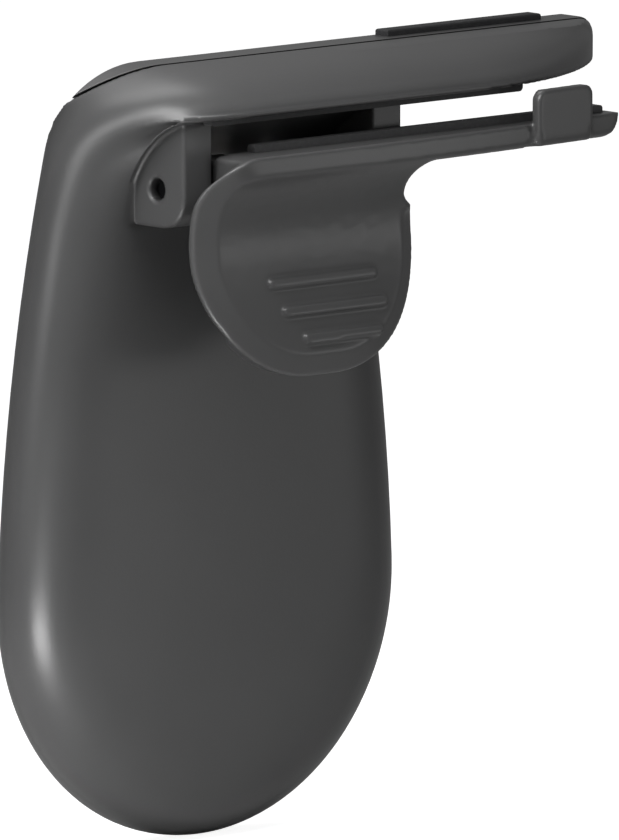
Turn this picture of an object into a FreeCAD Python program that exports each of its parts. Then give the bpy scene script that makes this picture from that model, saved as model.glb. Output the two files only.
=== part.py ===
"""Magnetic phone holder for a car's air vent.

A flat drop-shaped paddle with magnets inside hangs from the left end of a long shelf-like arm. Under the
arm two ears carry a pin, and on the pin turns a sprung lever: its jaw lies under the arm's grip strip and
takes a louvre blade between two rubber strips, and its thumb tab hangs down behind the paddle.

Millimetres. The origin is the middle of the upper grip strip's seat face. +X runs along the arm to its
free tip, +Y points away from the vent, towards the phone, and +Z is up.
"""
import FreeCAD, Part
import os
from math import asin, atan2, cos, hypot, pi, radians, sin, sqrt

V = FreeCAD.Vector

# Arm, seen from above and from its end
arm_top_z = 4.05
arm_under_z = 0.6
arm_near_y = -1.6
arm_near_drop = 2.15
arm_tip_x = 37.55
tip_sweep_radius = 33.0
tip_sweep_start_x = 11.5
tip_corner_round = 1.5
near_edge_round = 1.3
shoulder_round = 11.0
shoulder_turn = 45.0
shoulder_x = -15.0
shoulder_tighten = 1.86
flank_draw = 0.3
shoulder_low_z = -9.0
phone_y = 14.35
seam_y = 10.85
top_edge_round = 0.5

# Paddle
paddle_x = -9.05
lobe_radius = 22.2
lobe_z = -42.8
corner_radius = 12.5
corner_offset = 5.1
side_radius = 190.0
back_y = 8.2
cove_radius = 10.3
back_edge_round = 4.2
front_edge_round = 1.8

# Ears and hinge pin
ear_face_y = 0.75
ear_left_x = -20.45
ear_thickness = 3.3
ear_gap = 18.9
ear_bottom_z = -9.15
ear_round = 2.9
pin_y = 4.35
pin_z = -5.8
pin_radius = 1.0
pin_recess = 0.9
pin_press = 0.01
pin_clearance = 0.05

# Front cover, its seam and its pad
cover_thickness = 1.6
cover_inset = 2.9
cover_gap = 0.1
seam_tilt = 38.0
seam_groove = 0.3
neck_half_width = 9.0
neck_depth = 1.5
pad_recess = 0.5
pad_thickness = 0.9
pad_inset = 1.2
pad_rim = 0.25

# Magnets in the paddle
wall_thickness = 1.4
cavity_inset = 4.6
magnet_count = 6
magnet_thickness = 2.0
yoke_thickness = 0.8
yoke_radius = lobe_radius - cavity_inset - 0.6
magnet_radius = 0.265 * yoke_radius
magnet_ring_radius = yoke_radius - magnet_radius - 0.3
yoke_hole_radius = magnet_ring_radius - magnet_radius - 1.2

# Cover screws
screw_radius = 0.8
screw_length = 3.4
screw_head_radius = 1.6
screw_head_depth = 0.7
boss_radius = 2.0
screw_spread = 10.0
screw_high_z = -10.0

# Grip strips
blade_gap = 2.05
grip_near_y = -0.6
grip_far_y = 0.6
grip_length = 36.8
grip_seat_depth = 0.3
lower_grip_left_x = -13.4
lower_grip_length = 41.4

# Pad on top of the arm
top_pad_length = 18.4
top_pad_width = 1.7
top_pad_proud = 0.55
top_pad_middle_x = 23.1
top_pad_seat_depth = 0.4

# Lever
lever_clearance = 0.35
jaw_left_x = -20.4
jaw_right_x = 29.0
jaw_near_y = -4.45
jaw_bend_x = -8.0
jaw_taper = 0.00152
jaw_thickness = 2.1
jaw_groove = 0.65
jaw_end_round = 1.9
tab_top_round = 5.0
hook_left_x = 17.75
hook_width = 7.1
hook_height = 3.0
hook_thickness = 0.95
hook_round = 1.0
tab_left_x = -20.4
tab_right_x = 5.2
tab_waist_right_x = 3.4
tab_flare_z = -9.6
tab_bottom_z = -22.5
tab_bottom_round = 11.2
tab_thickness = 2.2
band_width = 2.0
band_depth = 1.0
left_shell = 1.65
tab_hollow_y = -1.5
tab_hollow_z = -8.6
tab_flare_y = -4.2
ridge_places = [(-6.7, -14.2, 12.6), (-5.8, -16.65, 12.2), (-5.5, -19.1, 9.2)]
ridge_height = 0.8
ridge_rise = 0.35
knuckle_radius = 2.3
knuckle_length = 4.4

# Torsion spring on the pin
spring_wire = 0.5
spring_space = 0.15
spring_coil_radius = 1.75
spring_turns = 6
spring_rest_gap = 0.06


def box(x0, x1, y0, y1, z0, z1):
    return Part.makeBox(x1 - x0, y1 - y0, z1 - z0, V(x0, y0, z0))


def rod_x(x0, x1, y, z, radius):
    return Part.makeCylinder(radius, x1 - x0, V(x0, y, z), V(1, 0, 0))


def rod_y(y0, y1, x, z, radius):
    return Part.makeCylinder(radius, y1 - y0, V(x, y0, z), V(0, 1, 0))


def line(a, b):
    return Part.LineSegment(a, b).toShape()


def arc(a, middle, b):
    return Part.Arc(a, middle, b).toShape()


def prism(edges, along):
    return Part.Face(Part.Wire(edges)).extrude(along)


def polygon(points, along):
    closed = points + points[:1]
    return prism([line(a, b) for a, b in zip(closed, closed[1:])], along)


def in_plane_x(edge, x):
    b = edge.BoundBox
    return abs(b.XMin - x) < 0.01 and abs(b.XMax - x) < 0.01


def in_plane_y(edge, y):
    b = edge.BoundBox
    return abs(b.YMin - y) < 0.01 and abs(b.YMax - y) < 0.01


def in_plane_z(edge, z):
    b = edge.BoundBox
    return abs(b.ZMin - z) < 0.01 and abs(b.ZMax - z) < 0.01


class Drop:
    """The paddle's outline: lobe, two long side arcs and two shoulder arcs, offset inwards by inset."""

    def __init__(self, inset=0.0):
        self.lobe = (0.0, lobe_z)
        self.corner = (-corner_offset, arm_top_z - corner_radius)
        self.side = self.side_centre()
        self.lobe_r = lobe_radius - inset
        self.corner_r = corner_radius - inset
        self.side_r = side_radius - inset
        self.low = self.away_from_side(self.lobe, self.lobe_r)
        self.high = self.away_from_side(self.corner, self.corner_r)

    def side_centre(self):
        to_lobe = side_radius - lobe_radius
        to_corner = side_radius - corner_radius
        dx = self.corner[0] - self.lobe[0]
        dz = self.corner[1] - self.lobe[1]
        gap = hypot(dx, dz)
        along = (to_lobe ** 2 - to_corner ** 2 + gap ** 2) / (2 * gap)
        across = sqrt(to_lobe ** 2 - along ** 2)
        x = self.lobe[0] + (along * dx + across * dz) / gap
        z = self.lobe[1] + (along * dz - across * dx) / gap
        return x, z

    def away_from_side(self, centre, radius):
        dx = centre[0] - self.side[0]
        dz = centre[1] - self.side[1]
        d = hypot(dx, dz)
        return centre[0] + dx / d * radius, centre[1] + dz / d * radius

    def side_middle(self):
        x = (self.low[0] + self.high[0]) / 2
        z = (self.low[1] + self.high[1]) / 2
        dx = x - self.side[0]
        dz = z - self.side[1]
        d = hypot(dx, dz)
        return self.side[0] + dx / d * self.side_r, self.side[1] + dz / d * self.side_r

    def shoulder(self, turn):
        """A point of the left shoulder arc, with turn 0 at its low end and 1 at its top."""
        start = atan2(self.high[1] - self.corner[1], self.high[0] - self.corner[0])
        angle = start + (pi / 2 - start) * turn
        return self.corner[0] + self.corner_r * cos(angle), self.corner[1] + self.corner_r * sin(angle)

    def body(self, y, hand=1):
        """Maps an outline point to space, on the left side with hand 1 and mirrored with -1."""
        return lambda p: V(paddle_x + hand * p[0], y, p[1])

    def lower_edges(self, y):
        left = self.body(y)
        right = self.body(y, -1)
        bottom = (0.0, lobe_z - self.lobe_r)
        return [
            arc(left(self.high), left(self.side_middle()), left(self.low)),
            arc(left(self.low), left(bottom), right(self.low)),
            arc(right(self.low), right(self.side_middle()), right(self.high)),
        ]

    def closed(self, y0, y1):
        """The whole drop as a prism."""
        left = self.body(y0)
        right = self.body(y0, -1)
        top = self.shoulder(1)
        edges = self.lower_edges(y0)
        edges.append(arc(right(self.high), right(self.shoulder(0.5)), right(top)))
        edges.append(line(right(top), left(top)))
        edges.append(arc(left(top), left(self.shoulder(0.5)), left(self.high)))
        return prism(edges, V(0, y1 - y0, 0))

    def open_topped(self, y0, y1, z_top):
        """The drop with its sides carried straight on above the shoulders."""
        left = self.body(y0)
        right = self.body(y0, -1)
        rise = z_top - self.high[1]
        dx = self.side[0] - self.high[0]
        dz = self.side[1] - self.high[1]
        top = (self.high[0] - rise * dz / dx, z_top)
        edges = self.lower_edges(y0)
        edges.append(line(right(self.high), right(top)))
        edges.append(line(right(top), left(top)))
        edges.append(line(left(top), left(self.high)))
        return prism(edges, V(0, y1 - y0, 0))


far = 90.0
work_top_z = arm_top_z + 9.0
work_near_y = arm_near_y - 6.0


def carved_paddle():
    """The paddle with the cove that runs from its back up into the underside of the arm."""
    slab = Drop().open_topped(work_near_y, phone_y, work_top_z)
    cove_y = back_y - cove_radius
    cove_z = arm_under_z - cove_radius
    start = V(-far, cove_y, arm_under_z)
    turn = V(-far, cove_y + cove_radius * sin(radians(45)), cove_z + cove_radius * cos(radians(45)))
    end = V(-far, back_y, cove_z)
    behind = work_near_y - 1.0
    edges = [
        line(V(-far, behind, arm_under_z), start),
        arc(start, turn, end),
        line(end, V(-far, back_y, -far)),
        line(V(-far, back_y, -far), V(-far, behind, -far)),
        line(V(-far, behind, -far), V(-far, behind, arm_under_z)),
    ]
    paddle = slab.cut(prism(edges, V(2 * far, 0, 0)))
    back = [e for e in paddle.Edges if in_plane_y(e, back_y) and e.BoundBox.ZMin < cove_z - 0.1]
    paddle = paddle.makeFillet(back_edge_round, back)
    front = [e for e in paddle.Edges if in_plane_y(e, phone_y) and e.BoundBox.ZMin < arm_top_z]
    return paddle.makeFillet(front_edge_round, front)


def top_drop(y):
    """How far the arm's top has sloped down at y, on an arc from the seam to the near edge."""
    run = seam_y - arm_near_y
    radius = (run ** 2 + arm_near_drop ** 2) / (2 * arm_near_drop)
    return radius - sqrt(radius ** 2 - (seam_y - y) ** 2)


def shoulder_section(y):
    """The outline across the arm at y: left flank, shoulder arc and top, moved in as the top falls."""
    drop = Drop()
    down = top_drop(y) if y < seam_y else 0.0
    radius = drop.corner_r - shoulder_tighten * down
    slant = atan2(drop.high[1] - drop.side[1], drop.high[0] - drop.side[0])
    nx = cos(slant)
    nz = sin(slant)
    reach = nx * drop.high[0] + nz * drop.high[1] - flank_draw * down
    cz = arm_top_z - down - radius
    cx = (reach - radius - nz * cz) / nx
    place = drop.body(y)
    tangent = (cx + radius * nx, cz + radius * nz)
    turn = (slant + pi / 2) / 2
    middle = (cx + radius * cos(turn), cz + radius * sin(turn))
    top = (cx, cz + radius)
    foot = (tangent[0] + (tangent[1] + far) * nz / nx, -far)
    right_x = arm_tip_x - paddle_x
    edges = [
        line(place(foot), place(tangent)),
        arc(place(tangent), place(middle), place(top)),
        line(place(top), place((right_x, top[1]))),
        line(place((right_x, top[1])), place((right_x, -far))),
        line(place((right_x, -far)), place(foot)),
    ]
    return Part.Wire(edges)


def plan_of_arm():
    """The arm from above: the near edge swings back at the left shoulder and sweeps back to the tip."""
    radius = tip_sweep_radius
    swing = asin((arm_tip_x - tip_sweep_start_x) / radius)
    near = V(tip_sweep_start_x, arm_near_y, -far)
    bend = V(near.x + radius * sin(swing / 2), arm_near_y + radius * (1 - cos(swing / 2)), -far)
    tip = V(arm_tip_x, arm_near_y + radius * (1 - cos(swing)), -far)
    r = shoulder_round
    turn = radians(shoulder_turn)
    left = V(shoulder_x, arm_near_y, -far)
    knee = V(left.x - r * sin(turn / 2), arm_near_y + r * (1 - cos(turn / 2)), -far)
    side = V(left.x - r * sin(turn), arm_near_y + r * (1 - cos(turn)), -far)
    run = phone_y - side.y
    corner = V(side.x - run * cos(turn) / sin(turn), phone_y, -far)
    edges = [
        arc(near, bend, tip),
        line(tip, V(arm_tip_x, phone_y, -far)),
        line(V(arm_tip_x, phone_y, -far), corner),
        line(corner, side),
        arc(side, knee, left),
        line(left, near),
    ]
    plan = prism(edges, V(0, 0, 2 * far))
    upright = [e for e in plan.Edges if in_plane_x(e, arm_tip_x) and e.BoundBox.ZLength > far
               and abs(e.BoundBox.YMax - tip.y) < 0.01]
    plan = plan.makeFillet(tip_corner_round, upright)
    return plan.fuse(box(-far, arm_tip_x, arm_near_y, phone_y, -2 * far, shoulder_low_z))


def top_form():
    """Everything under the arm's top, with its near edge rounded from the left shoulder to the tip."""
    steps = 6
    run = seam_y - arm_near_y
    wires = [shoulder_section(seam_y - run * step / steps) for step in range(steps + 1)]
    slope = Part.makeLoft(wires, True, False)
    strip = Part.Face(shoulder_section(seam_y)).extrude(V(0, phone_y - seam_y, 0))
    form = slope.fuse(strip).common(plan_of_arm())
    near = [e for e in form.Edges
            if in_plane_y(e, arm_near_y) and e.BoundBox.ZMin > 0 and e.BoundBox.XLength > 10]
    return form.makeFillet(near_edge_round, near)


def in_front_of_seam(gap=0.0):
    """The region above and in front of the slanted parting plane, moved forwards by gap."""
    slope = radians(seam_tilt)
    reach = phone_y + 2.0 - seam_y
    dy = gap * sin(slope)
    dz = gap * cos(slope)
    points = [
        V(-far, seam_y - 2.0 + dy, arm_top_z + 2.0 * sin(slope) / cos(slope) + dz),
        V(-far, seam_y + reach + dy, arm_top_z - reach * sin(slope) / cos(slope) + dz),
        V(-far, seam_y + reach + dy, work_top_z + 2.0),
        V(-far, seam_y - 2.0 + dy, work_top_z + 2.0),
    ]
    return polygon(points, V(2 * far, 0, 0))


def whole_body(form):
    arm = box(paddle_x, arm_tip_x + 1.0, work_near_y, phone_y, arm_under_z, work_top_z)
    return carved_paddle().fuse(arm).common(form)


def ears(form):
    """The two hinge ears, rounded at their lower near corners and kept under the arm's top."""
    root = back_y + 0.6
    pair = []
    for x in (ear_left_x, ear_left_x + ear_thickness + ear_gap):
        ear = box(x, x + ear_thickness, ear_face_y, root, ear_bottom_z, arm_under_z + 0.6)
        corner = [e for e in ear.Edges if in_plane_y(e, ear_face_y) and in_plane_z(e, ear_bottom_z)]
        pair.append(ear.makeFillet(ear_round, corner).common(form))
    return pair


def screw_places():
    return [
        (paddle_x - screw_spread, screw_high_z),
        (paddle_x + screw_spread, screw_high_z),
        (paddle_x, lobe_z + yoke_radius + 2.4 * boss_radius),
        (paddle_x, lobe_z),
    ]


def cover_inner_y():
    return phone_y - cover_thickness


def cover_plate(gap=0.0):
    """The drop-shaped plate with the neck that joins it to the flange above."""
    inner = cover_inner_y() - gap
    neck = box(paddle_x - neck_half_width - gap, paddle_x + neck_half_width + gap, inner, phone_y,
               -4.0, arm_top_z - neck_depth)
    return Drop(cover_inset - gap).closed(inner, phone_y).fuse(neck)


def rear_shell(form):
    shell = whole_body(form)
    groove = in_front_of_seam(-seam_groove).cut(in_front_of_seam())
    core = Drop(seam_groove).closed(work_near_y, phone_y + 1.0)
    core = core.fuse(box(paddle_x, far, work_near_y, phone_y + 1.0, -far, arm_top_z - seam_groove))
    shell = shell.cut(groove.cut(core))
    shell = shell.cut(in_front_of_seam(-cover_gap))
    shell = shell.cut(cover_plate(cover_gap))
    floor_y = back_y + wall_thickness
    cavity = Drop(cavity_inset).closed(floor_y, cover_inner_y())
    cavity = cavity.common(box(-far, far, 0, far, -far, -4.5))
    shell = shell.cut(cavity)
    for x, z in screw_places():
        shell = shell.fuse(rod_y(floor_y - 0.2, cover_inner_y() - cover_gap, x, z, boss_radius))
    for ear in ears(form):
        shell = shell.fuse(ear)
    for x, z in screw_places():
        shell = shell.cut(rod_y(floor_y, phone_y, x, z, screw_radius + 0.02))
    pin_end = ear_left_x + 2 * ear_thickness + ear_gap - pin_recess
    shell = shell.cut(rod_x(ear_left_x - 1.0, pin_end, pin_y, pin_z, pin_radius + pin_press))
    seat = arm_under_z + grip_seat_depth
    half = grip_length / 2
    shell = shell.cut(box(-half - 0.05, half + 0.05, grip_near_y - 0.05, grip_far_y + 0.05, -0.5, seat))
    half = top_pad_length / 2 + 0.05
    pad_near = phone_y - top_edge_round - top_pad_width - 0.05
    floor_z = arm_top_z - top_pad_seat_depth
    shell = shell.cut(box(top_pad_middle_x - half, top_pad_middle_x + half, pad_near,
                          phone_y - top_edge_round,
                          floor_z, arm_top_z + 1.0))
    return shell.removeSplitter()


def front_cover(form):
    """The cover's drop-shaped plate and the flange along the top that closes the arm's far side."""
    flange = whole_body(form).common(in_front_of_seam())
    front = [e for e in flange.Edges if in_plane_y(e, phone_y) and in_plane_z(e, arm_top_z)]
    flange = flange.makeFillet(top_edge_round, front)
    cover = flange.fuse(cover_plate())
    cover = cover.cut(Drop(cover_inset + pad_inset - 0.05).closed(phone_y - pad_recess, phone_y + 1.0))
    for x, z in screw_places():
        cover = cover.cut(rod_y(cover_inner_y() - 1.0, phone_y, x, z, screw_radius + 0.15))
        head_y = phone_y - pad_recess - screw_head_depth
        cover = cover.cut(rod_y(head_y, phone_y, x, z, screw_head_radius + 0.1))
    half = top_pad_length / 2 + 0.05
    pad_near = phone_y - top_edge_round - top_pad_width - 0.05
    cover = cover.cut(box(top_pad_middle_x - half, top_pad_middle_x + half, pad_near,
                          phone_y - top_edge_round + 0.05, arm_top_z - top_pad_seat_depth, arm_top_z + 1.0))
    return cover.removeSplitter()


def face_pad():
    pad = Drop(cover_inset + pad_inset).closed(phone_y - pad_recess, phone_y - pad_recess + pad_thickness)
    rim = [e for e in pad.Edges if in_plane_y(e, phone_y - pad_recess + pad_thickness)]
    return pad.makeChamfer(pad_rim, rim)


def cover_screw(x, z):
    head_y = phone_y - pad_recess - screw_head_depth
    screw = rod_y(head_y, head_y + screw_head_depth, x, z, screw_head_radius)
    return screw.fuse(rod_y(head_y - screw_length, head_y, x, z, screw_radius)).removeSplitter()


def magnet_yoke():
    floor_y = back_y + wall_thickness
    plate = rod_y(floor_y, floor_y + yoke_thickness, paddle_x, lobe_z, yoke_radius)
    return plate.cut(rod_y(floor_y - 1.0, floor_y + 2.0, paddle_x, lobe_z, yoke_hole_radius))


def magnet(index):
    angle = 2 * pi * index / magnet_count
    x = paddle_x + magnet_ring_radius * sin(angle)
    z = lobe_z + magnet_ring_radius * cos(angle)
    base = back_y + wall_thickness + yoke_thickness
    disc = rod_y(base, base + magnet_thickness, x, z, magnet_radius)
    return disc.makeChamfer(0.2, [e for e in disc.Edges if in_plane_y(e, base + magnet_thickness)])


def upper_grip_pad():
    half = grip_length / 2
    pad = box(-half, half, grip_near_y, grip_far_y, 0.0, arm_under_z + grip_seat_depth)
    ends = [e for e in pad.Edges if in_plane_z(e, 0.0) and (in_plane_x(e, half) or in_plane_x(e, -half))]
    return pad.makeFillet(0.4, ends)


def lower_grip_pad():
    right = lower_grip_left_x + lower_grip_length
    base = -blade_gap - jaw_groove - grip_seat_depth
    pad = box(lower_grip_left_x, right, grip_near_y, ear_face_y - lever_clearance - 0.05, base, -blade_gap)
    ends = [e for e in pad.Edges if in_plane_z(e, -blade_gap)
            and (in_plane_x(e, lower_grip_left_x) or in_plane_x(e, right))]
    return pad.makeFillet(0.3, ends)


def arm_top_pad():
    half = top_pad_length / 2
    far_y = phone_y - top_edge_round
    pad = box(top_pad_middle_x - half, top_pad_middle_x + half, far_y - top_pad_width, far_y,
              arm_top_z - top_pad_seat_depth, arm_top_z + top_pad_proud)
    rim = [e for e in pad.Edges if in_plane_z(e, arm_top_z + top_pad_proud)]
    return pad.makeFillet(0.2, rim)


def hinge_pin():
    right = ear_left_x + 2 * ear_thickness + ear_gap - pin_recess
    pin = rod_x(ear_left_x + pin_recess, right, pin_y, pin_z, pin_radius)
    ends = [e for e in pin.Edges if in_plane_x(e, right) or in_plane_x(e, ear_left_x + pin_recess)]
    return pin.makeChamfer(0.2, ends)


def lever_outline(beyond=0.0):
    """The lever from behind: jaw bar, right-hand waist and the round-bottomed thumb tab, as a prism."""
    top = -blade_gap - jaw_groove
    low = top - jaw_thickness
    r = tab_bottom_round
    c = r * cos(radians(45))
    left = tab_left_x
    right = tab_right_x
    end = jaw_right_x
    q = jaw_end_round
    k = q * cos(radians(45))
    t = tab_top_round
    u = t * cos(radians(45))
    waist = tab_waist_right_x
    waist_round = 2.6
    w = waist_round * cos(radians(45))
    y = work_near_y
    flare = Part.BezierCurve()
    flare.setPoles([V(waist, y, low - waist_round), V(waist, y, low - waist_round - 1.0),
                    V(right - 0.36, y, tab_flare_z + 1.0), V(right, y, tab_flare_z)])
    edges = [
        arc(V(left, y, top - t), V(left + t - u, y, top - t + u), V(left + t, y, top)),
        line(V(left + t, y, top), V(end, y, top)),
        line(V(end, y, top), V(end, y, low + q)),
        arc(V(end, y, low + q), V(end - q + k, y, low + q - k), V(end - q, y, low)),
        line(V(end - q, y, low), V(waist + waist_round, y, low)),
        arc(V(waist + waist_round, y, low), V(waist + waist_round - w, y, low - waist_round + w),
            V(waist, y, low - waist_round)),
        flare.toShape(),
        line(V(right, y, tab_flare_z), V(right, y, tab_bottom_z + r)),
        arc(V(right, y, tab_bottom_z + r), V(right - r + c, y, tab_bottom_z + r - c),
            V(right - r, y, tab_bottom_z)),
        line(V(right - r, y, tab_bottom_z), V(left + r, y, tab_bottom_z)),
        arc(V(left + r, y, tab_bottom_z), V(left + r - c, y, tab_bottom_z + r - c),
            V(left, y, tab_bottom_z + r)),
        line(V(left, y, tab_bottom_z + r), V(left, y, top - t)),
    ]
    return prism(edges, V(0, ear_face_y - lever_clearance + beyond - work_near_y, 0))


def near_profile(shift, sink):
    """Points down the lever's near face, from the jaw's top to the tab's lower edge, moved by shift."""
    top = -blade_gap - jaw_groove
    low = top - jaw_thickness
    return [
        V(0, jaw_near_y + shift, top + 1.0),
        V(0, jaw_near_y + shift, top - 0.4 * jaw_thickness),
        V(0, (jaw_near_y + tab_hollow_y) / 2 + shift, low - 0.2 * jaw_thickness),
        V(0, tab_hollow_y + sink, tab_hollow_z),
        V(0, (tab_hollow_y + tab_flare_y) / 2 + 0.6 + sink, (tab_hollow_z + tab_bottom_z) / 2),
        V(0, tab_flare_y + sink, tab_bottom_z - 1.0),
    ]


def lever_station(x, sink=0.0):
    """The lever's section at x, with its near face sunk in by sink."""
    bend = max(x - jaw_bend_x, 0.0)
    shift = jaw_taper * bend ** 2 + sink
    back = ear_face_y - lever_clearance
    points = near_profile(shift, sink)
    face = Part.BSplineCurve()
    face.interpolate(points)
    low_z = points[-1].z
    foot = tab_flare_y + tab_thickness
    rear = Part.BSplineCurve()
    rear.interpolate([
        V(0, foot, low_z),
        V(0, (tab_hollow_y + tab_flare_y) / 2 + 0.6 + tab_thickness, (tab_hollow_z + tab_bottom_z) / 2),
        V(0, back, tab_hollow_z),
    ])
    edges = [
        face.toShape(),
        line(V(0, points[-1].y, low_z), V(0, foot, low_z)),
        rear.toShape(),
        line(V(0, back, tab_hollow_z), V(0, back, points[0].z)),
        line(V(0, back, points[0].z), V(0, points[0].y, points[0].z)),
    ]
    wire = Part.Wire(edges)
    wire.translate(V(x, 0, 0))
    return wire


def lever_section(sink=0.0):
    """The lever's end section carried along the jaw, whose near face swings back towards the tip."""
    first = jaw_left_x - 6.0
    last = jaw_right_x + 4.0
    steps = 8
    wires = [lever_station(first + (last - first) * step / steps, sink) for step in range(steps + 1)]
    return Part.makeLoft(wires, True, False)


def left_hollow():
    """The hollow behind the lever's left end, which leaves a shell beside the hinge ear."""
    end = ear_left_x + ear_thickness + 0.05
    return lever_section(left_shell).common(box(jaw_left_x - 1.0, end, work_near_y, 2.0,
                                                tab_bottom_z - 1.0, 0.0))


def hook():
    """The hook at the jaw's near edge, turned to lie flush with the near face."""
    top = -blade_gap - jaw_groove
    bend = hook_left_x + hook_width / 2 - jaw_bend_x
    near = jaw_near_y + jaw_taper * bend ** 2
    plate = box(hook_left_x, hook_left_x + hook_width, near, near + hook_thickness, top - band_width,
                top + hook_height)
    corners = [e for e in plate.Edges if in_plane_z(e, top + hook_height)
               and (in_plane_x(e, hook_left_x) or in_plane_x(e, hook_left_x + hook_width))]
    plate = plate.makeFillet(hook_round, corners)
    turn = atan2(2 * jaw_taper * bend, 1) * 180 / pi
    plate.rotate(V(hook_left_x + hook_width / 2, near, 0), V(0, 0, 1), turn)
    return plate


def ridges():
    """Three rounded bars across the thumb tab."""
    proud = lever_section(-ridge_rise)
    inner = lever_section(0.4)
    bars = []
    for x, z, length in ridge_places:
        half = ridge_height / 2
        bar = box(x - length / 2, x + length / 2, work_near_y, 0.0, z - half, z + half)
        along = [e for e in bar.Edges if e.BoundBox.YLength > 5]
        bars.append(bar.makeFillet(0.9 * half, along).common(proud).cut(inner))
    return bars


def clip_lever():
    plate = lever_outline(1.0).common(lever_section())
    top = -blade_gap - jaw_groove
    near = [e for e in plate.Edges
            if in_plane_z(e, top) and e.BoundBox.YMin < -3 and e.BoundBox.XLength > 20]
    plate = plate.makeChamfer(band_width, band_depth, near)
    lever = plate.fuse([hook()] + ridges())
    lever = lever.cut(left_hollow())
    inner_left = ear_left_x + ear_thickness
    back = ear_face_y - lever_clearance
    web_top = top - 0.6
    for x in (inner_left + 0.15, inner_left + ear_gap - 0.15 - knuckle_length):
        knuckle = rod_x(x, x + knuckle_length, pin_y, pin_z, knuckle_radius)
        web = box(x, x + knuckle_length, back - 0.4, pin_y, pin_z - knuckle_radius + 0.4, web_top)
        lever = lever.fuse(knuckle).fuse(web)
    lever = lever.cut(rod_x(-far, far, pin_y, pin_z, pin_radius + pin_clearance))
    right = lower_grip_left_x + lower_grip_length
    lever = lever.cut(box(lower_grip_left_x - 0.05, right + 0.05, grip_near_y - 0.05, back + 0.5,
                          top - grip_seat_depth, top + 0.01))
    return lever.removeSplitter()


def torsion_spring():
    """Coils of flat wire round the pin, with one leg against the tab and one against the paddle."""
    pitch = spring_wire + spring_space
    length = pitch * spring_turns
    start = ear_left_x + ear_thickness + (ear_gap - length) / 2
    half = spring_wire / 2
    low_z = pin_z - spring_coil_radius
    helix = Part.makeHelix(pitch, length, spring_coil_radius)
    signs = ((-1, -1), (1, -1), (1, 1), (-1, 1))
    corners = [V(spring_coil_radius + a * half, 0, b * half) for a, b in signs]
    section = Part.Wire([line(p, q) for p, q in zip(corners, corners[1:] + corners[:1])])
    coil = Part.Wire(helix.Edges).makePipeShell([section], True, True)
    coil.Placement = FreeCAD.Placement(V(start, pin_y, pin_z), FreeCAD.Rotation(V(0, 1, 0), 90))
    tab_y = ear_face_y - lever_clearance + spring_rest_gap
    tab_leg = box(start - half, start + half, tab_y, pin_y + half, low_z - half, low_z + half)
    end = start + length
    cove_y = back_y - cove_radius
    reach = sqrt(cove_radius ** 2 - (low_z + half - arm_under_z + cove_radius) ** 2)
    paddle_leg = box(end - half, end + half, pin_y - half, cove_y + reach - spring_rest_gap, low_z - half,
                     low_z + half)
    return coil.fuse([tab_leg, paddle_leg]).removeSplitter()


if __name__ == "__main__":
    os.makedirs("parts", exist_ok=True)
    form = top_form()
    pieces = {
        "rear_shell": rear_shell(form),
        "front_cover": front_cover(form),
        "face_pad": face_pad(),
        "magnet_yoke": magnet_yoke(),
        "upper_grip_pad": upper_grip_pad(),
        "lower_grip_pad": lower_grip_pad(),
        "arm_top_pad": arm_top_pad(),
        "hinge_pin": hinge_pin(),
        "clip_lever": clip_lever(),
        "torsion_spring": torsion_spring(),
    }
    for index in range(magnet_count):
        pieces["magnet_" + str(index + 1)] = magnet(index)
    for index, (x, z) in enumerate(screw_places()):
        pieces["cover_screw_" + str(index + 1)] = cover_screw(x, z)
    for name, shape in pieces.items():
        shape.exportStep("parts/" + name + ".step")
        print(name, shape.isValid(), len(shape.Solids), round(shape.Volume, 2))
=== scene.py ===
import bpy
from math import cos, radians, sin
import numpy
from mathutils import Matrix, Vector
from mathutils.bvhtree import BVHTree


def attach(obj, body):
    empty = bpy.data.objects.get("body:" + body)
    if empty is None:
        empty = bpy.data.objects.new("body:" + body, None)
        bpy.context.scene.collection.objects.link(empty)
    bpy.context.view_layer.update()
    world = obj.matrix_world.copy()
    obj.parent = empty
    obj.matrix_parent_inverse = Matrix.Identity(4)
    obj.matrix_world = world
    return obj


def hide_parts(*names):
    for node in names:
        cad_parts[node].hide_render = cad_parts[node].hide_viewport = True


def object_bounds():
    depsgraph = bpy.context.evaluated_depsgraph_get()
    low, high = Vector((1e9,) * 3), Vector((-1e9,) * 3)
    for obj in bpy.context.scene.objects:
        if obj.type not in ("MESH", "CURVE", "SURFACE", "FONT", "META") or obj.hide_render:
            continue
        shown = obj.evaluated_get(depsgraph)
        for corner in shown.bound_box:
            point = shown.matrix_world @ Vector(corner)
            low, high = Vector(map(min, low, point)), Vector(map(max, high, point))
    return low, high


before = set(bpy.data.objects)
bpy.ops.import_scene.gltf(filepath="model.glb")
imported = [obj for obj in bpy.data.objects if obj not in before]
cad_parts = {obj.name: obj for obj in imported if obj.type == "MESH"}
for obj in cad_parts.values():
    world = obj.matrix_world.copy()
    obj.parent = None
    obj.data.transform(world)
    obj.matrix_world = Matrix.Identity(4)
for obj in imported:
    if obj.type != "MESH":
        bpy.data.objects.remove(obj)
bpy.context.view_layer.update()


# The rear shell: one moulding with the hollow paddle, the arm above the vent blade and the two hinge ears.
# Dark grey ABS with a fine spark-eroded skin, satin where hands have polished it.
def new_group(name, inputs, outputs):
    tree = bpy.data.node_groups.new(name, "ShaderNodeTree")
    for label, value in inputs:
        socket = tree.interface.new_socket(label, in_out="INPUT", socket_type="NodeSocketFloat")
        socket.default_value = value
    for label in outputs:
        tree.interface.new_socket(label, in_out="OUTPUT", socket_type="NodeSocketFloat")
    return tree, tree.nodes.new("NodeGroupInput"), tree.nodes.new("NodeGroupOutput")


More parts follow.
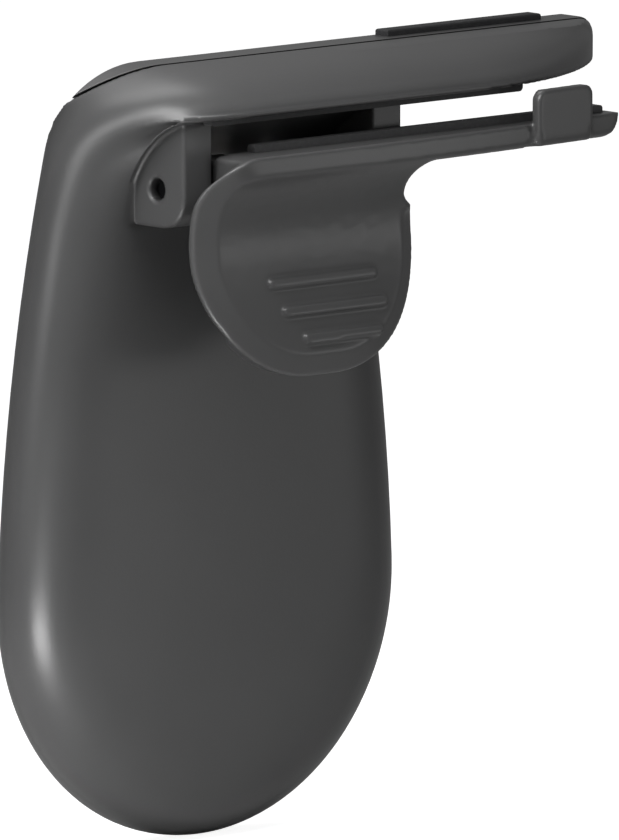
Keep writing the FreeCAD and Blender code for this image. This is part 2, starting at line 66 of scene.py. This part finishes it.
def maths(tree, operation, first, second, clamp=False):
    node = tree.nodes.new("ShaderNodeMath")
    node.operation = operation
    node.use_clamp = clamp
    for socket, value in zip(node.inputs, (first, second)):
        if isinstance(value, float):
            socket.default_value = value
        else:
            tree.links.new(value, socket)
    return node.outputs[0]


def object_place(tree):
    return tree.nodes.new("ShaderNodeTexCoord").outputs["Object"]


def noise(tree, place, detail, scale):
    node = tree.nodes.new("ShaderNodeTexNoise")
    node.inputs["Detail"].default_value = detail
    tree.links.new(place, node.inputs["Vector"])
    if isinstance(scale, float):
        node.inputs["Scale"].default_value = scale
    else:
        tree.links.new(scale, node.inputs["Scale"])
    return node.outputs["Fac"]


def build_moulded_grain():
    """Grain for the bump, slow clouds for colour and gloss, and specks of dust."""
    tree, given, out = new_group(
        "moulded_grain", [("Grain per Metre", 5200.0), ("Fine Share", 0.5)], ["Height", "Cloud", "Speck"]
    )
    fine_to_coarse = 2.7
    cloud_scale = 60.0
    speck_scale = 2600.0
    place = object_place(tree)
    grain_scale = given.outputs["Grain per Metre"]
    coarse = noise(tree, place, 2.0, grain_scale)
    fine = noise(tree, place, 1.0, maths(tree, "MULTIPLY", grain_scale, fine_to_coarse))
    fine_part = maths(tree, "MULTIPLY", fine, given.outputs["Fine Share"])
    tree.links.new(maths(tree, "ADD", coarse, fine_part), out.inputs["Height"])
    tree.links.new(noise(tree, place, 3.0, cloud_scale), out.inputs["Cloud"])
    speck = tree.nodes.new("ShaderNodeTexVoronoi")
    speck.inputs["Scale"].default_value = speck_scale
    tree.links.new(place, speck.inputs["Vector"])
    tree.links.new(speck.outputs["Distance"], out.inputs["Speck"])
    return tree


moulded_grain = build_moulded_grain()


def build_edge_rub():
    """A broken lighter line along the edges: partly plastic rubbed by handling, partly a painted highlight.
    """
    tree, given, out = new_group("edge_rub_and_highlight", [("Width", 0.0004), ("Breakup", 0.5)], ["Mask"])
    edge_contrast = 9.0
    breakup_scale = 900.0
    bevel = tree.nodes.new("ShaderNodeBevel")
    bevel.samples = 4
    tree.links.new(given.outputs["Width"], bevel.inputs["Radius"])
    flat = tree.nodes.new("ShaderNodeNewGeometry")
    turn = tree.nodes.new("ShaderNodeVectorMath")
    turn.operation = "DOT_PRODUCT"
    tree.links.new(bevel.outputs["Normal"], turn.inputs[0])
    tree.links.new(flat.outputs["Normal"], turn.inputs[1])
    bend = maths(tree, "SUBTRACT", 1.0, turn.outputs["Value"])
    edge = maths(tree, "MULTIPLY", bend, edge_contrast, clamp=True)
    patches = noise(tree, object_place(tree), 2.0, breakup_scale)
    worn = maths(tree, "SUBTRACT", 1.0, maths(tree, "MULTIPLY", patches, given.outputs["Breakup"]))
    tree.links.new(maths(tree, "MULTIPLY", edge, worn, clamp=True), out.inputs["Mask"])
    return tree


edge_rub_and_highlight = build_edge_rub()


def place_group(tree, group, **values):
    node = tree.nodes.new("ShaderNodeGroup")
    node.node_tree = group
    for label, value in values.items():
        node.inputs[label.replace("_", " ")].default_value = value
    return node


def ramp(tree, factor, stops):
    node = tree.nodes.new("ShaderNodeValToRGB")
    for element, (position, colour) in zip(node.color_ramp.elements, stops):
        element.position = position
        element.color = (*colour, 1.0)
    tree.links.new(factor, node.inputs["Fac"])
    return node.outputs["Color"]


def mixed(tree, factor, first, second):
    node = tree.nodes.new("ShaderNodeMix")
    node.data_type = "RGBA"
    for label, value in (("Factor", factor), ("A", first), ("B", second)):
        if isinstance(value, tuple):
            node.inputs[label].default_value = (*value, 1.0)
        else:
            tree.links.new(value, node.inputs[label])
    return node.outputs["Result"]


def spread(tree, factor, low, high):
    node = tree.nodes.new("ShaderNodeMapRange")
    node.inputs["To Min"].default_value = low
    node.inputs["To Max"].default_value = high
    tree.links.new(factor, node.inputs["Value"])
    return node.outputs["Result"]


def new_finish(name):
    material = bpy.data.materials.new(name)
    material.use_nodes = True
    tree = material.node_tree
    return material, tree, tree.nodes["Principled BSDF"]


def grain_bump(tree, surface, height, strength, depth):
    bump = tree.nodes.new("ShaderNodeBump")
    bump.inputs["Strength"].default_value = strength
    bump.inputs["Distance"].default_value = depth
    tree.links.new(height, bump.inputs["Height"])
    tree.links.new(bump.outputs["Normal"], surface.inputs["Normal"])
    return bump


def moulded_plastic(name, dark, light, rough_low, rough_high, grain_depth, rub_and_highlight_colour):
    painted_shade_reach = 0.0009
    painted_shade_black = (0.004, 0.004, 0.004)
    edge_softness = 0.00015
    material, tree, surface = new_finish(name)
    grain = place_group(tree, moulded_grain)
    rub_and_highlight = place_group(tree, edge_rub_and_highlight)
    body = ramp(tree, grain.outputs["Cloud"], [(0.3, dark), (0.7, light)])
    # Painted shade: near black is mixed into the base colour where ambient occlusion finds close surfaces,
    # darkening creases, hollows and the lines round the ridges.
    crease_shade = tree.nodes.new("ShaderNodeAmbientOcclusion")
    crease_shade.samples = 8
    crease_shade.inputs["Distance"].default_value = painted_shade_reach
    depth = spread(tree, crease_shade.outputs["AO"], -0.6, 1.0)
    shaded = mixed(tree, depth, painted_shade_black, body)
    # Painted highlight along the edges: the edge mask mixes in the lighter colour, partly rubbed plastic
    # and partly a painted highlight line.
    tree.links.new(mixed(tree, rub_and_highlight.outputs["Mask"], shaded, rub_and_highlight_colour), surface.inputs["Base Color"])
    tree.links.new(spread(tree, grain.outputs["Cloud"], rough_low, rough_high), surface.inputs["Roughness"])
    soft_edge = tree.nodes.new("ShaderNodeBevel")
    soft_edge.samples = 6
    soft_edge.inputs["Radius"].default_value = edge_softness
    bump = grain_bump(tree, surface, grain.outputs["Height"], 0.35, grain_depth)
    tree.links.new(soft_edge.outputs["Normal"], bump.inputs["Normal"])
    surface.inputs["Specular IOR Level"].default_value = 0.5
    return material


def dress(material, *nodes):
    for name in nodes:
        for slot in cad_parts[name].material_slots:
            slot.material = material


shell_plastic = moulded_plastic(
    "dark_grey_abs", dark=(0.044, 0.044, 0.0445), light=(0.050, 0.050, 0.0505),
    rough_low=0.33, rough_high=0.38, grain_depth=0.00002, rub_and_highlight_colour=(0.066, 0.066, 0.067)
)
dress(shell_plastic, "rear_shell")

millimetres = 1000.0


def keep_modified(piece):
    """Makes what the modifiers give the piece's own mesh."""
    ready = piece.evaluated_get(bpy.context.evaluated_depsgraph_get())
    piece.data = bpy.data.meshes.new_from_object(ready)
    piece.modifiers.clear()


def even_mesh(name, source, grain_size, settling, melt=None):
    """The node's own shape in small even faces, over whose edges light rolls as it does on a moulding."""
    draft = bpy.data.objects.new(name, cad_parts[source].data.copy())
    bpy.context.scene.collection.objects.link(draft)
    even = draft.modifiers.new("even", "REMESH")
    even.mode = "VOXEL"
    even.voxel_size = grain_size
    calm = draft.modifiers.new("calm", "SMOOTH")
    calm.factor = 0.5
    calm.iterations = settling
    keep_modified(draft)
    if melt:
        soft = draft.vertex_groups.new(name="melt")
        for vertex in draft.data.vertices:
            amount = melt(*[millimetres * part for part in vertex.co])
            if amount > 0.0:
                soft.add([vertex.index], amount, "REPLACE")
        flow = draft.modifiers.new("flow", "SMOOTH")
        flow.factor = 0.5
        flow.iterations = 60
        flow.vertex_group = "melt"
        keep_modified(draft)
        draft.vertex_groups.clear()
    return draft


def roll_light(piece, source, passes, share):
    """Puts the points with no share back on the node's own surface, and spreads the normals of the others
    over their neighbours."""
    mesh = piece.data
    count = len(mesh.vertices)
    place = numpy.empty(3 * count)
    mesh.vertices.foreach_get("co", place)
    place = millimetres * place.reshape(-1, 3)
    ends = numpy.empty(2 * len(mesh.edges), dtype=numpy.int64)
    mesh.edges.foreach_get("vertices", ends)
    first, second = ends.reshape(-1, 2).T
    amount = share(*place.T)
    soft = (amount > 0.0).astype(float)
    links = numpy.bincount(first, soft[second], count) + numpy.bincount(second, soft[first], count)
    amount = numpy.where(links > 0.0, amount, 0.0)
    links = numpy.maximum(links, 1.0)
    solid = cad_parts[source].data
    skin = BVHTree.FromPolygons([vertex.co for vertex in solid.vertices],
                                [face.vertices[:] for face in solid.polygons])
    for index in numpy.nonzero(amount == 0.0)[0]:
        mesh.vertices[index].co = skin.find_nearest(mesh.vertices[index].co)[0]
    mesh.update()
    normal = numpy.empty(3 * count)
    mesh.vertex_normals.foreach_get("vector", normal)
    normal = normal.reshape(-1, 3)
    for _ in range(passes):
        around = numpy.empty_like(normal)
        for axis in range(3):
            given = normal[:, axis] * soft
            around[:, axis] = numpy.bincount(first, given[second], count)
            around[:, axis] += numpy.bincount(second, given[first], count)
        around /= links[:, None]
        normal += (around - normal) * amount[:, None]
        normal /= numpy.maximum(numpy.linalg.norm(normal, axis=1), 1e-9)[:, None]
    mesh.polygons.foreach_set("use_smooth", [True] * len(mesh.polygons))
    mesh.normals_split_custom_set_from_vertices([tuple(row) for row in normal])


def stand_in(piece, source, body, finish):
    piece.data.materials.clear()
    piece.data.materials.append(finish)
    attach(piece, body)
    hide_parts(source)


def shell_share(x, y, z):
    """How much light is spread: none at the ears, the seam, the strip's pocket and the arm's flat top."""
    arm_top_z = 4.05
    arm_under_z = 0.9
    seam_y = 10.85
    seam_cos = 0.788
    seam_sin = 0.616
    left_ear = (x > -20.9) & (x < -16.8)
    right_ear = (x > 1.4) & (x < 5.4)
    ears = (left_ear | right_ear) & (y < 7.2) & (z < arm_under_z)
    seam = numpy.abs((z - arm_top_z) * seam_cos + (y - seam_y) * seam_sin) < 0.55
    pocket = (z < arm_under_z) & (z > 0.0) & (y < 8.0) & (x > -18.0)
    flat_top = (z > 3.9) & (x > 5.0)
    return numpy.where(ears | seam | pocket | flat_top, 0.0, 0.85)


shell_skin = even_mesh("rear_shell_moulding", "rear_shell", grain_size=0.00025, settling=2)
roll_light(shell_skin, "rear_shell", 420, shell_share)
stand_in(shell_skin, "rear_shell", "holder", shell_plastic)


# The front cover: the flat moulding that closes the paddle and carries the phone side of the arm.
# The same ABS as the shell, held by four screws in the bosses behind it.
cover_plastic = moulded_plastic(
    "dark_grey_abs_cover", dark=(0.042, 0.042, 0.0425), light=(0.048, 0.048, 0.0485),
    rough_low=0.35, rough_high=0.40, grain_depth=0.00002, rub_and_highlight_colour=(0.064, 0.064, 0.065)
)
dress(cover_plastic, "front_cover")


# The clip lever: the sprung lower jaw with its thumb tab and hook, one moulding that turns on the pin.
# Dark grey nylon, a little smoother than the shell.
# The lever's bright edge colour is mostly a painted highlight line along its rims.
lever_plastic = moulded_plastic(
    "dark_grey_nylon", dark=(0.046, 0.046, 0.0465), light=(0.054, 0.054, 0.0545),
    rough_low=0.30, rough_high=0.35, grain_depth=0.000015, rub_and_highlight_colour=(0.115, 0.115, 0.116)
)
dress(lever_plastic, "clip_lever")

waist_x, waist_z, waist_reach = 4.2, -8.6, 3.0
heel_x, heel_z, heel_y = -17.1, -19.0, -2.0
hook_left_x, hook_right_x, hook_root_z = 16.9, 25.8, -3.4


def lever_melt(x, y, z):
    """How far corners run soft: at the waist under the jaw, the heel behind the tab and the hook's root."""
    waist = max(0.0, 1.0 - ((x - waist_x) ** 2 + (z - waist_z) ** 2) ** 0.5 / waist_reach)
    heel = max(0.0, 1.0 - ((x - heel_x) ** 2 + (z - heel_z) ** 2) ** 0.5 / 2.5) if y > heel_y else 0.0
    root = 1.0 if hook_left_x < x < hook_right_x and z < hook_root_z and y < 0.5 else 0.0
    return max(waist, heel, root)


def lever_share(x, y, z):
    """How much light is spread: most at the softened corners, a little everywhere else."""
    waist = (x - waist_x) ** 2 + (z - waist_z) ** 2 < waist_reach ** 2
    heel = ((x - heel_x) ** 2 + (z - heel_z) ** 2 < 6.3) & (y > heel_y)
    root = (x > hook_left_x) & (x < hook_right_x) & (z < hook_root_z)
    return numpy.where(waist | heel | root, 0.8, 0.35)


lever_skin = even_mesh("clip_lever_moulding", "clip_lever", grain_size=0.00013, settling=1, melt=lever_melt)
roll_light(lever_skin, "clip_lever", 12, lever_share)
stand_in(lever_skin, "clip_lever", "lever", lever_plastic)


# The rubber: two grip strips for the vent blade, the pad on the arm's top and the phone-side face pad.
# Dark grey silicone on the grips and black on the two pads, matt and very slightly dusty.
def silicone(name, dark, light, roughness):
    material, tree, surface = new_finish(name)
    grain = place_group(tree, moulded_grain, Grain_per_Metre=9000.0)
    dusty = ramp(tree, grain.outputs["Speck"], [(0.0, light), (0.6, dark)])
    matt = spread(tree, grain.outputs["Cloud"], roughness, roughness + 0.1)
    tree.links.new(dusty, surface.inputs["Base Color"])
    tree.links.new(matt, surface.inputs["Roughness"])
    grain_bump(tree, surface, grain.outputs["Height"], 0.4, 0.00002)
    surface.inputs["Specular IOR Level"].default_value = 0.35
    return material


grip_silicone = silicone("grip_silicone", (0.040, 0.040, 0.041), (0.052, 0.052, 0.053), 0.55)
dress(grip_silicone, "upper_grip_pad", "lower_grip_pad")
black_silicone = silicone("black_silicone", (0.014, 0.014, 0.015), (0.022, 0.022, 0.023), 0.62)
dress(black_silicone, "arm_top_pad")
face_silicone = silicone("face_silicone", (0.020, 0.020, 0.021), (0.028, 0.028, 0.029), 0.55)
dress(face_silicone, "face_pad")


# The metal: six magnets on their steel yoke, four cover screws, the hinge pin and the torsion spring.
# Bright nickel plating on the magnets, zinc on the yoke and screws, a blackened pin and drawn spring wire.
def worked_metal(name, colour, rough_low, rough_high, streaks):
    material, tree, surface = new_finish(name)
    place = tree.nodes.new("ShaderNodeMapping")
    place.inputs["Scale"].default_value = streaks
    tree.links.new(object_place(tree), place.inputs["Vector"])
    streak = noise(tree, place.outputs["Vector"], 4.0, 1.0)
    dull = tuple(0.8 * part for part in colour)
    tree.links.new(ramp(tree, streak, [(0.3, dull), (0.7, colour)]), surface.inputs["Base Color"])
    tree.links.new(spread(tree, streak, rough_low, rough_high), surface.inputs["Roughness"])
    surface.inputs["Metallic"].default_value = 1.0
    return material


nickel = worked_metal("nickel_plating", (0.72, 0.70, 0.66), 0.12, 0.25, (900.0, 900.0, 900.0))
dress(nickel, *[f"magnet_{number}" for number in range(1, 7)])
zinc = worked_metal("zinc_plating", (0.56, 0.57, 0.58), 0.28, 0.42, (300.0, 300.0, 2600.0))
dress(zinc, "magnet_yoke", *[f"cover_screw_{number}" for number in range(1, 5)])
black_steel = worked_metal("blackened_steel", (0.012, 0.012, 0.013), 0.5, 0.65, (3000.0, 600.0, 600.0))
dress(black_steel, "hinge_pin")
drawn_wire = worked_metal("drawn_wire", (0.55, 0.54, 0.52), 0.2, 0.32, (4000.0, 800.0, 800.0))
dress(drawn_wire, "torsion_spring")


# The studio: a pale floor that the object stands on, white to the camera, with the object's soft shadow.
# Pale air all round and seven soft lamps that the camera doesn't see.
def build_floor():
    floor_reach = 3.0
    floor_grey = 0.62
    camera_glow = 0.88
    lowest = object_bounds()[0].z
    mesh = bpy.data.meshes.new("studio_floor")
    corners = [(-1, -1), (1, -1), (1, 1), (-1, 1)]
    mesh.from_pydata([(x * floor_reach, y * floor_reach, lowest) for x, y in corners], [], [(0, 1, 2, 3)])
    floor = bpy.data.objects.new("studio_floor", mesh)
    bpy.context.scene.collection.objects.link(floor)
    material, tree, surface = new_finish("pale_floor")
    surface.inputs["Base Color"].default_value = (floor_grey, floor_grey, floor_grey, 1.0)
    surface.inputs["Roughness"].default_value = 0.9
    surface.inputs["Emission Color"].default_value = (1.0, 1.0, 1.0, 1.0)
    seen = tree.nodes.new("ShaderNodeLightPath").outputs["Is Camera Ray"]
    tree.links.new(maths(tree, "MULTIPLY", seen, camera_glow), surface.inputs["Emission Strength"])
    mesh.materials.append(material)


build_floor()


def build_world():
    world = bpy.data.worlds.new("studio_air")
    bpy.context.scene.world = world
    world.use_nodes = True
    tree = world.node_tree
    air = tree.nodes["Background"]
    air.inputs["Color"].default_value = (1.0, 1.0, 1.0, 1.0)
    seen = tree.nodes.new("ShaderNodeLightPath").outputs["Is Camera Ray"]
    tree.links.new(spread(tree, seen, 0.25, 1.0), air.inputs["Strength"])


build_world()


def way_from(azimuth, elevation):
    """The way from the object to a lamp or the camera, in degrees from the vent side and the floor."""
    a = radians(azimuth)
    e = radians(elevation)
    return Vector((sin(a) * cos(e), -cos(a) * cos(e), sin(e)))


def face_back(thing, way):
    thing.rotation_euler = way.to_track_quat("Z", "Y").to_euler()


def softbox(name, azimuth, elevation, distance, width, height, power, aim=(-0.008, 0.004, -0.028)):
    lamp = bpy.data.lights.new(name, "AREA")
    lamp.shape = "RECTANGLE"
    lamp.size = width
    lamp.size_y = height
    lamp.energy = power
    box = bpy.data.objects.new(name, lamp)
    bpy.context.scene.collection.objects.link(box)
    way = way_from(azimuth, elevation)
    box.location = Vector(aim) + way * distance
    face_back(box, way)
    box.visible_camera = False


softbox("front_left", -62, 38, 0.3, 0.12, 0.12, 0.0396)
softbox("low_left", -62, -4, 0.05, 0.03, 0.012, 0.033, aim=(-0.022, 0.004, -0.058))
softbox("shoulder", -74, 60, 0.1, 0.07, 0.06, 0.1319, aim=(-0.026, 0.004, -0.002))
softbox("arm_glow", -25, 50, 0.05, 0.03, 0.02, 0.0141, aim=(-0.01, -0.002, 0.0))
softbox("left_near", -100, 25, 0.16, 0.08, 0.1, 0.1126, aim=(-0.026, 0.008, -0.01))
softbox("back_top", 170, 55, 0.35, 0.2, 0.1, 0.1924)
softbox("right_front", 45, -2, 0.35, 0.1, 0.1, 0.0693)


# The camera: a long lens, so that the object shows almost without perspective.
# It stands before the vent side, to the left and a little above, with the object filling the upright frame.
def build_camera():
    frame_height = 0.07368
    middle = Vector((-0.00575, 0.00075, -0.02715))
    camera = bpy.data.cameras.new("camera")
    camera.lens = 800.0
    camera.sensor_width = 36.0
    camera.clip_start = 0.1
    camera.clip_end = 20.0
    view = bpy.data.objects.new("camera", camera)
    bpy.context.scene.collection.objects.link(view)
    way = way_from(-42.0, 8.3)
    view.location = middle + way * (frame_height * camera.lens / camera.sensor_width)
    face_back(view, way)
    bpy.context.scene.camera = view


build_camera()
bpy.context.scene.view_settings.view_transform = "Standard"
